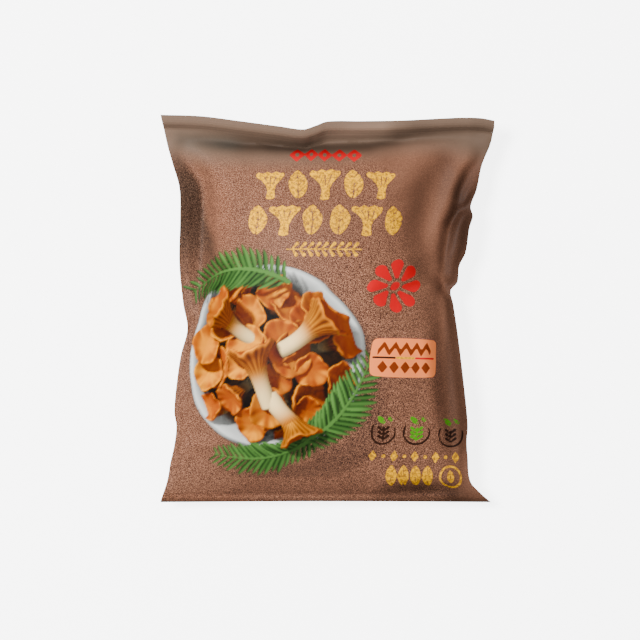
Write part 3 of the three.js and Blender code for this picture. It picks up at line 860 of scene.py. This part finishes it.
def heap_chanterelle(heap, place, heading, lean, height, cap, seed):
    """One chanterelle whose cap points along heading, leaning back from upright by lean."""
    draw = np.random.default_rng(seed)
    p, angle = round_grid(0, 44, 96)
    phase = draw.uniform(0, 2 * np.pi, 5)

    def waves(*terms):
        return sum(share * np.sin(count * angle + phase[i]) for count, i, share in terms)

    rim = plateau(0.45, 0.85, 0.86, 0.95, p)
    lobes = 1 + rim * waves((2, 0, 0.06), (3, 1, 0.05), (5, 2, 0.04), (8, 3, 0.02))
    under = plateau(0.3, 0.5, 0.78, 0.84, p)
    ridges = np.cos(22 * angle + 2 * np.sin(3 * angle + phase[4]))
    radius = (stem_of(p) * height * draw.uniform(0.11, 0.15) + cap_of(p) * cap) * lobes
    radius *= 1 + 0.02 * under * ridges
    rise = rise_of(p) * height + rim * height * waves((3, 3, 0.03), (5, 1, 0.025), (11, 2, 0.012))
    bend = height * 0.1 * np.sin(rise_of(p) * 2.2 + phase[0]) * smooth(0, 0.5, p)
    points = join(radius * np.cos(angle) + bend, radius * np.sin(angle), rise - height * 0.5)

    patches = 0.5 + 0.5 * np.sin(3 * angle + 9 * p + phase[2]) * np.sin(2 * angle - 14 * p + phase[1])
    top = mix_each(cap_orange, cap_yellow, patches * draw.uniform(0.0, 1.2))
    below = mix_each(gill_dark, cap_yellow, 0.5 + 0.5 * ridges)
    stem = mix_each(stem_cream, cap_yellow, smooth(0.2, 0.5, p) * 0.9)
    colours = mix_each(stem, below, under * smooth(0.35, 0.55, p))
    colours = mix_each(colours, top, smooth(0.78, 0.84, p))
    colours = mix_each(colours, cap_yellow * 1.3, 0.7 * np.exp(-((p - 0.825) / 0.022) ** 2))
    colours = mix_each(colours, gill_dark * 2, 0.6 * (1 - smooth(0.02, 0.05, p)))
    points = turned(points, 2, draw.uniform(0, 2 * np.pi))
    points = turned(turned(points, 1, lean), 2, heading)
    heap.add_sheet(points + np.array(place), colours, closed=True)


def bow(start, middle, end, t):
    """A curve from start to end that the middle pulls towards itself."""
    return (1 - t) ** 2 * start + 2 * t * (1 - t) * middle + t * t * end


def heap_fern(heap, start, middle, end, leaflet, seed):
    """A fern frond along a curve through three places, with its leaflets in pairs that shorten to the tip."""
    draw = np.random.default_rng(seed)
    start, middle, end = (np.array(place, float) for place in (start, middle, end))
    pairs = 19
    for i in range(pairs):
        t = (i + 0.5) / pairs
        place = bow(start, middle, end, t)
        along_rib = unit_of((1 - t) * (middle - start) + t * (end - middle))
        side = np.array((-along_rib[1], along_rib[0], 0))
        length = leaflet * (0.35 + 0.65 * math.sin(math.pi * (0.15 + 0.8 * t))) * draw.uniform(0.85, 1.1)
        for way in (-1, 1):
            reach = unit_of(side * way * 0.8 + along_rib * 0.6)
            width_way = np.cross((0, 0, 1), reach)
            r, w = np.meshgrid(np.linspace(0, 1, 9), np.linspace(-1, 1, 5), indexing="ij")
            half = 0.09 * length * np.sin(np.pi * np.clip(r, 0.3, 1)) ** 0.7 + 0.2
            arch = length * draw.uniform(-0.1, 0.25) * np.sin(np.pi * r * 0.8) - 0.35 * half * np.abs(w)
            points = (place + r[..., None] * reach * length + (w * half)[..., None] * width_way
                      + arch[..., None] * np.array((0, 0, 1)))
            shade = np.clip(0.25 + 0.4 * (1 - np.abs(w)) + 0.4 * way * np.sign(w) + draw.uniform(-0.3, 0.3), 0, 1)
            heap.add_sheet(points, mix_each(fern_green, fern_light, shade))
    t = np.linspace(0, 1, 24)[:, None]
    rib = bow(start, middle, end, t)
    spoke = np.arange(6) * np.pi / 3
    around = join(np.cos(spoke), np.sin(spoke), np.full(6, 0.5))
    points = rib[:, None] + around * mix(1.5, 0.4, t)[:, None]
    heap.add_sheet(points, np.broadcast_to(fern_light * 0.8, points.shape), closed=True)


def heap_plate(heap):
    """A round plate with a raised rim, about the origin."""
    reach, angle = round_grid(0.02, 40, 120)
    rise = 9 * smooth(0.72, 0.96, reach) - 5 * smooth(0.975, 1, reach)
    points = join(plate_radius * reach * np.cos(angle), plate_radius * reach * np.sin(angle), rise)
    heap.add_sheet(points, mix_each(plate_juice, plate_white, smooth(0.74, 0.84, reach)), closed=True)


def make_heap():
    heap = Heap()
    heap_plate(heap)
    draw = np.random.default_rng(11)
    # caps that face up in three rings, leaning outward, and mushrooms lying on them
    for count, reach, level, lean, cap in ((12, 37, 3, 0.6, 12), (9, 25, 8, 0.5, 12), (5, 10, 13, 0.35, 12)):
        for i in range(count):
            bearing = 2 * math.pi * (i + draw.uniform(-0.2, 0.2)) / count + reach
            out = reach + draw.uniform(-2, 2)
            heap_chanterelle(
                heap, (out * math.cos(bearing) - 2, out * math.sin(bearing), level + draw.uniform(-4, 4)),
                bearing + draw.uniform(-0.8, 0.8), lean + draw.uniform(-0.3, 0.4),
                draw.uniform(26, 32), cap * draw.uniform(0.75, 1.15), int(reach) * 10 + i)
    for i, (x, y, heading, size) in enumerate((
            (-22, 20, 2.5, 36), (22, 14, 0.5, 38), (-6, -10, 1.9, 40), (8, -36, -1.1, 34))):
        heap_chanterelle(
            heap, (x, y, 27 + draw.uniform(-2, 3)), heading, 1.4 + draw.uniform(-0.15, 0.15),
            size, size * 0.38, 700 + i)
    heap_fern(heap, (12, 46, 24), (-22, 64, 30), (-54, 40, 12), 17, 21)
    heap_fern(heap, (16, -50, 24), (46, -40, 34), (60, 2, 14), 17, 22)
    heap_fern(heap, (26, -46, 26), (4, -70, 28), (-34, -60, 10), 16, 23)
    heap.finish()
    return heap


def sky_ways(sample):
    """Directions spread evenly over the sky, others for each sample."""
    rank = np.arange(sample, sky_rays * samples_across ** 2, samples_across ** 2)
    rise = (rank + 0.5) / (sky_rays * samples_across ** 2)
    turn = rank * math.pi * (3 - math.sqrt(5))
    flat = np.sqrt(1 - rise ** 2)
    return join(flat * np.cos(turn), flat * np.sin(turn), rise)


def sun_ways(sample):
    turn = 2 * np.pi * (np.arange(sun_rays) / sun_rays + sample / samples_across ** 2)
    reach = sun_blur * (sample + 1) / samples_across ** 2
    return sunlight + reach * join(np.cos(turn), np.sin(turn), np.zeros(sun_rays))


def picture_colours(film):
    """The picture's colour and opacity for each point of the front."""
    heap = make_heap()
    middle = film.place(*picture_middle)
    x, y = film.right - middle[0], film.up - middle[1]
    in_reach = (x < picture_reach[0]) & (np.abs(y) < picture_reach[1])
    step_x, step_y = np.gradient(x, axis=1)[in_reach], np.gradient(y, axis=0)[in_reach]
    x, y = x[in_reach], y[in_reach]
    sun_light = full_light - sky_share
    gleam_way = sunlight + (0, 0, 1)
    total = np.zeros((len(x), 4))
    for sample in range(samples_across ** 2):
        across_step, along_step = (
            (part + 0.5) / samples_across - 0.5 for part in (sample % samples_across, sample // samples_across))
        face, place = heap.look_down(x + across_step * step_x, y + along_step * step_y)
        seen = face >= 0
        # what lies on the plain print beside the plate throws its shadow there
        place[~seen] = join(x[~seen], y[~seen], np.zeros(np.sum(~seen)))
        colour, normal = np.full((len(x), 3), plain_print), np.tile((0.0, 0.0, 1.0), (len(x), 1))
        colour[seen], normal[seen] = heap.at(face[seen], place[seen])
        start = place + normal * ray_lift
        ways = sky_ways(sample)
        sky = sum(heap.lit_from(start, normal, way) for way in ways)
        sun = sum(heap.lit_from(start, normal, way) for way in sun_ways(sample)) / sun_rays
        light = sky_share * sky / np.sum(ways[:, 2]) + sun_light * sun
        orange = colour[:, 2] < orange_blue
        glance = np.clip(normal @ gleam_way / np.linalg.norm(gleam_way), 0, 1)
        gleam = glance ** gleam_power * np.minimum(sun, 1) * orange
        colour[:, 1] *= np.where(orange, np.maximum(light, 0.02) ** warmth, 1)
        lit = colour * light[:, None] + cap_gleam * gleam[:, None]
        total[:, :3] += np.where(seen[:, None], lit, plain_print)
        shadow = shadow_strength * (1 - np.clip(light / (sky_share + sun_light * sunlight[2]), 0, 1))
        total[:, 3] += np.where(seen, 1, shadow)
    total /= samples_across ** 2
    colours = np.zeros(film.right.shape + (4,))
    colours[in_reach] = total
    # it fades out above the bottom seal, and its shadow to the right
    colours[..., 3] *= smooth(*foot_fade, film.up) * smooth(picture_reach[0], picture_fade, film.right - middle[0])
    return colours


# ---- The film's mesh -------------------------

def add_cells(parts, index, row_lines, column_lines):
    """Faces between the kept lines of a grid, seen from below. Each takes in every numbered point on its sides."""
    for r0, r1 in zip(row_lines, row_lines[1:]):
        for c0, c1 in zip(column_lines, column_lines[1:]):
            corners = np.concatenate([
                index[r0, c0:c1], index[r0:r1, c1], index[r1, c0 + 1:c1 + 1][::-1], index[r0 + 1:r1 + 1, c0][::-1]])
            parts.faces.append(corners[corners >= 0][::-1].tolist())


def rim_of(index):
    """The numbers round the edge of a grid."""
    return np.concatenate([index[0, :-1], index[:-1, -1], index[-1, :0:-1], index[:0:-1, 0]])


def join_rims(parts, first, second):
    """A band of faces between the edges of two grids."""
    a, b = rim_of(first), rim_of(second)
    parts.faces += join(a, np.roll(a, -1), np.roll(b, -1), b).tolist()


def inner_sheets(film, row_lines, column_lines):
    """The inside of both walls, on the kept lines. Where there is no room for both, they meet halfway."""
    kept = np.ix_(row_lines, column_lines)
    outward = normals_of(film.front)
    front, back, normal, back_normal = (
        sheet[kept] for sheet in (film.front, film.back, outward, normals_of(film.back)))
    middle = (front + back) / 2
    # straight down and up where there is little room
    room = smooth(*narrow_room, front[..., 2:] - back[..., 2:])
    upright = np.array((0, 0, 1))
    front = front - film_wall * mix(upright / normal[..., 2:], normal, room)
    back = back + film_wall * mix(upright / back_normal[..., 2:], back_normal, room)
    # where its faces span a crease of the finer front, the inside goes lower
    fine = [np.arange(lines[0], lines[-1] + 1) for lines in (row_lines, column_lines)]
    down, right = (
        join(*(np.interp(every, lines, unit) for unit in np.eye(len(lines))))
        for every, lines in zip(fine, (row_lines, column_lines)))
    cells = [np.array(lines[:-1]) - lines[0] for lines in (row_lines, column_lines)]
    fine = np.ix_(*fine)
    for _ in range(thinning_rounds):
        spanned = np.einsum("ri,ijk,cj->rck", down, front, right, optimize=True)
        short = thinnest - np.sum((film.front[fine] - spanned) * outward[fine], axis=-1)
        most = np.maximum.reduceat(np.maximum.reduceat(short, cells[0], axis=0), cells[1], axis=1)
        most = np.pad(np.maximum(most, 0), 1)
        front[..., 2] -= np.max([most[:-1, :-1], most[1:, :-1], most[:-1, 1:], most[1:, 1:]], axis=0)
    half = np.array((0, 0, inner_gap / 2))
    front = np.where((front - middle - half)[..., 2:] < 0, middle + half, front)
    back = np.where((back - middle + half)[..., 2:] > 0, middle - half, back)
    return front, back


def make_film_mesh(film):
    """The outer skin, printed side up, and the inner skin round the mushrooms, joined at the vent."""
    parts = MeshParts()
    front = parts.add_points(film.front)
    parts.faces = cells_of(front).tolist()

    used = np.zeros(across.shape, bool)
    used[[0, -1], :] = used[:, [0, -1]] = True
    used[np.ix_(back_rows, back_columns)] = True
    back = np.full(across.shape, -1)
    back[used] = parts.add_points(film.back[used])
    add_cells(parts, back, back_rows, back_columns)
    join_rims(parts, back, front)

    inner_rows = [r for r in back_rows if bottom_weld < rows[r] < top_weld]
    inner_columns = back_columns[1:-1]
    ceiling, ground = (parts.add_points(sheet) for sheet in inner_sheets(film, inner_rows, inner_columns))
    parts.faces += cells_of(ceiling)[:, ::-1].tolist() + cells_of(ground).tolist()
    join_rims(parts, ceiling, ground)

    skin = parts.make("bag_film_skin")
    cut_vent(skin, back, ground, inner_rows, inner_columns)
    return skin


def cut_vent(skin, back, ground, inner_rows, inner_columns):
    """A small round hole through the back wall: a point of each skin opens into a ring, and the rings join."""
    share_x, share_y = (share[0] for share in shares_at(*np.array(vent_place, float)[:, None]))
    row = min(inner_rows, key=lambda r: abs(rows[r] - share_y))
    column = min(inner_columns, key=lambda c: abs(columns[c] - share_x))
    middles = [int(back[row, column]), int(ground[inner_rows.index(row), inner_columns.index(column)])]
    mesh = bmesh.new()
    mesh.from_mesh(skin.data)
    mesh.verts.ensure_lookup_table()
    edges = []
    for middle in [mesh.verts[i] for i in middles]:
        centre = middle.co.copy()
        ring = {vert for face in middle.link_faces for vert in face.verts} - {middle}
        bmesh.ops.delete(mesh, geom=[middle], context="VERTS")
        for vert in ring:
            away = vert.co - centre
            vert.co = centre + away * (vent_radius * MM / away.xy.length)
        edges += [e for e in mesh.edges if e.is_boundary and set(e.verts) <= ring]
    bmesh.ops.bridge_loops(mesh, edges=edges)
    mesh.to_mesh(skin.data)
    mesh.free()


def store_numbers(skin, name, values, kind="FLOAT"):
    """A named value at each point of the mesh, for its material to read."""
    attribute = skin.data.attributes.new(name, kind, "POINT")
    attribute.data.foreach_set("color" if kind == "FLOAT_COLOR" else "value", values.astype(np.float32).ravel())


# ---- Finishes --------------------------------

class Finish:
    """A material whose nodes are written as calls. A socket is named by its words, or by i and its number."""

    def __init__(self, name, roughness, specular):
        self.material = bpy.data.materials.new(name)
        self.material.use_nodes = True
        self.tree = self.material.node_tree
        self.shader = self.tree.nodes["Principled BSDF"]
        self.set(self.shader, Roughness=roughness, Specular_IOR_Level=specular)

    def set(self, node, **inputs):
        for key, value in inputs.items():
            socket = node.inputs[int(key[1:]) if key[1:].isdigit() else key.replace("_", " ")]
            if isinstance(value, bpy.types.NodeSocket):
                self.tree.links.new(value, socket)
            else:
                socket.default_value = value
        return node

    def node(self, kind, settings=(), **inputs):
        made = self.tree.nodes.new(kind)
        for key, value in dict(settings).items():
            setattr(made, key, value)
        return self.set(made, **inputs)

    def place(self):
        """The point on the object, in millimetres."""
        where = self.node("ShaderNodeTexCoord").outputs["Object"]
        # off the planes where noise is weak
        return self.node(
            "ShaderNodeVectorMath", {"operation": "MULTIPLY_ADD"}, i0=where, i1=(1000.0,) * 3, i2=(3.1, 7.7, 5.3)
        ).outputs[0]

    def stored(self, name, output="Fac"):
        return self.node("ShaderNodeAttribute", {"attribute_name": name}).outputs[output]

    def math(self, operation, a, b=0.0):
        return self.node("ShaderNodeMath", {"operation": operation}, i0=a, i1=b).outputs[0]

    def noise(self, place, scale, detail=2.0, roughness=0.5):
        return self.node(
            "ShaderNodeTexNoise", Vector=place, Scale=scale, Detail=detail, Roughness=roughness).outputs["Fac"]

    def ramp(self, value, low, high, start=0.0, end=1.0):
        """A smooth step from start to end as the value goes from low to high."""
        return self.node(
            "ShaderNodeMapRange", {"interpolation_type": "SMOOTHSTEP"},
            i0=value, i1=low, i2=high, i3=start, i4=end).outputs[0]

    def blend(self, share, below, above):
        return self.node("ShaderNodeMix", {"data_type": "RGBA"}, i0=share, i6=below, i7=above).outputs[2]

    def bump(self, height, strength, distance, **under):
        return self.node("ShaderNodeBump", Height=height, Strength=strength, Distance=distance, **under).outputs[0]


kraft_light = (0.437, 0.194, 0.111, 1)
kraft_dark = (0.030, 0.012, 0.008, 1)
seal_tone = (0.140, 0.093, 0.065, 1)
ink_colours = {
    "salmon": (1.0, 0.24, 0.06, 1),
    "rust": (0.19, 0.029, 0.005, 1),
    "umber": (0.018, 0.006, 0.003, 1),
    "green": (0.053, 0.27, 0.003, 1),
    "red": (0.56, 0.0, 0.006, 1),
    "gold": (0.98, 0.46, 0.0, 1),
}
gold_dark = (0.46, 0.20, 0.0, 1)
speckle_grey = (0.34, 0.34, 0.34, 1)
edge_blur = 0.16  # of the inks, in millimetres
crimp_pitch = 1.3


def printed_film():
    """Matt brown film with a speckled print, the picture, and the inks over it, darkened and lightened by painted
    shade and highlights.
    """
    film = Finish("printed_film", 0.6, 0.08)
    place = film.place()
    grain = film.noise(place, 2.1, 2.0, 0.7)
    speckle = film.blend(film.stored("speckle"), speckle_grey, film.ramp(grain, 0.475, 0.585))
    colour = film.blend(speckle, kraft_dark, kraft_light)
    colour = film.blend(film.math("MULTIPLY", film.stored("plain"), 0.9), colour, seal_tone)
    colour = film.blend(film.stored("picture", "Alpha"), colour, film.stored("picture", "Color"))
    patches = film.noise(place, 0.6, 4.0, 0.8)
    worn = film.ramp(patches, 0.39, 0.45, 0.3, 1.0)
    gilt = film.blend(film.ramp(patches, 0.42, 0.58), gold_dark, ink_colours["gold"])
    for ink, tone in ink_colours.items():
        mask = film.ramp(film.stored(ink), -edge_blur, edge_blur, 1.0, 0.0)
        if ink == "gold":
            mask, tone = film.math("MULTIPLY", mask, worn), gilt
        colour = film.blend(mask, colour, tone)
    # the painted shade and highlights stored on the skin multiply the whole colour
    light = film.stored("light", "Color")
    colour = film.node("ShaderNodeVectorMath", {"operation": "MULTIPLY"}, i0=colour, i1=light).outputs[0]
    crimp = film.math("SINE", film.math("MULTIPLY", film.stored("up"), 2 * math.pi / crimp_pitch))
    crimp = film.math("MULTIPLY", crimp, film.stored("seal"))
    normal = film.bump(film.noise(place, 0.35, 3.0), 0.12, 0.0006, Normal=film.bump(crimp, 0.1, 0.0002))
    film.set(film.shader, Base_Color=colour, Normal=normal, Roughness=film.ramp(grain, 0.3, 0.7, 0.52, 0.66))
    return film.material


def chanterelle_flesh():
    """Orange flesh in lighter and darker parts, with frost on it."""
    flesh = Finish("chanterelle_flesh", 0.55, 0.35)
    place = flesh.place()
    tone = flesh.ramp(flesh.noise(place, 0.12, 3.0), 0.35, 0.65)
    colour = flesh.blend(tone, (0.62, 0.25, 0.03, 1), (0.9, 0.5, 0.12, 1))
    frost = flesh.ramp(flesh.noise(place, 0.8, 4.0), 0.52, 0.62, 0.0, 0.5)
    colour = flesh.blend(frost, colour, (0.85, 0.78, 0.66, 1))
    flesh.set(flesh.shader, Base_Color=colour, Normal=flesh.bump(flesh.noise(place, 0.6, 3.0), 0.4, 0.0005))
    return flesh.material


# ---- The bag ---------------------------------

weld_blur = 0.004
back_shade = 0.4  # of the front's painted shade, on the back
sharp_edge = math.radians(50)


def make_film():
    film = Film()
    skin = make_film_mesh(film)
    count = len(skin.data.vertices)
    # the front's points come first
    printed = across.size

    def on_front(values, elsewhere, width=1):
        full = np.full((count, width), float(elsewhere))
        full[:printed] = values.reshape(printed, width)
        return full

    for ink, distance in print_marks(film).items():
        store_numbers(skin, ink, on_front(distance, far_off))
    store_numbers(skin, "picture", on_front(picture_colours(film), 0, 4), "FLOAT_COLOR")
    x, y = points_of(skin.data)[:, :2].T
    share = shares_at(x, y)[1]
    between_welds = plateau(
        bottom_weld - weld_blur, bottom_weld + weld_blur, top_weld - weld_blur, top_weld + weld_blur, share)
    # the ends are crimped, and so is the fin that lies against the back
    on_back = np.arange(count) >= printed
    fin = on_back * plateau(-2, 0, fin_width - 1, fin_width + 1, x)
    store_numbers(skin, "seal", np.maximum(1 - between_welds, fin))
    store_numbers(skin, "plain", plain_share(x, y))
    store_numbers(skin, "speckle", speckle_share(x, y))
    # painted shade and highlights over the front, weaker on the back, for the material to multiply into its colour
    light = np.ones((count, 4))
    light[:, :3] = mix(1, painted_light(x, y), np.where(on_back, back_shade, 1)[:, None])
    store_numbers(skin, "light", light, "FLOAT_COLOR")
    store_numbers(skin, "up", share * bag_length)
    skin.data.materials.append(printed_film())
    bpy.context.view_layer.objects.active = skin
    skin.select_set(True)
    bpy.ops.object.shade_smooth_by_angle(angle=sharp_edge)
    skin.select_set(False)
    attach(skin, "root")
    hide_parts("bag_film")


def dress_mushrooms():
    flesh = chanterelle_flesh()
    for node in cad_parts:
        if node.startswith("chanterelle"):
            materials = bpy.data.objects[node].data.materials
            materials.clear()
            materials.append(flesh)


for thing in bpy.context.selected_objects:
    thing.select_set(False)
make_camera()
make_lights()
make_floor()
make_film()
dress_mushrooms()
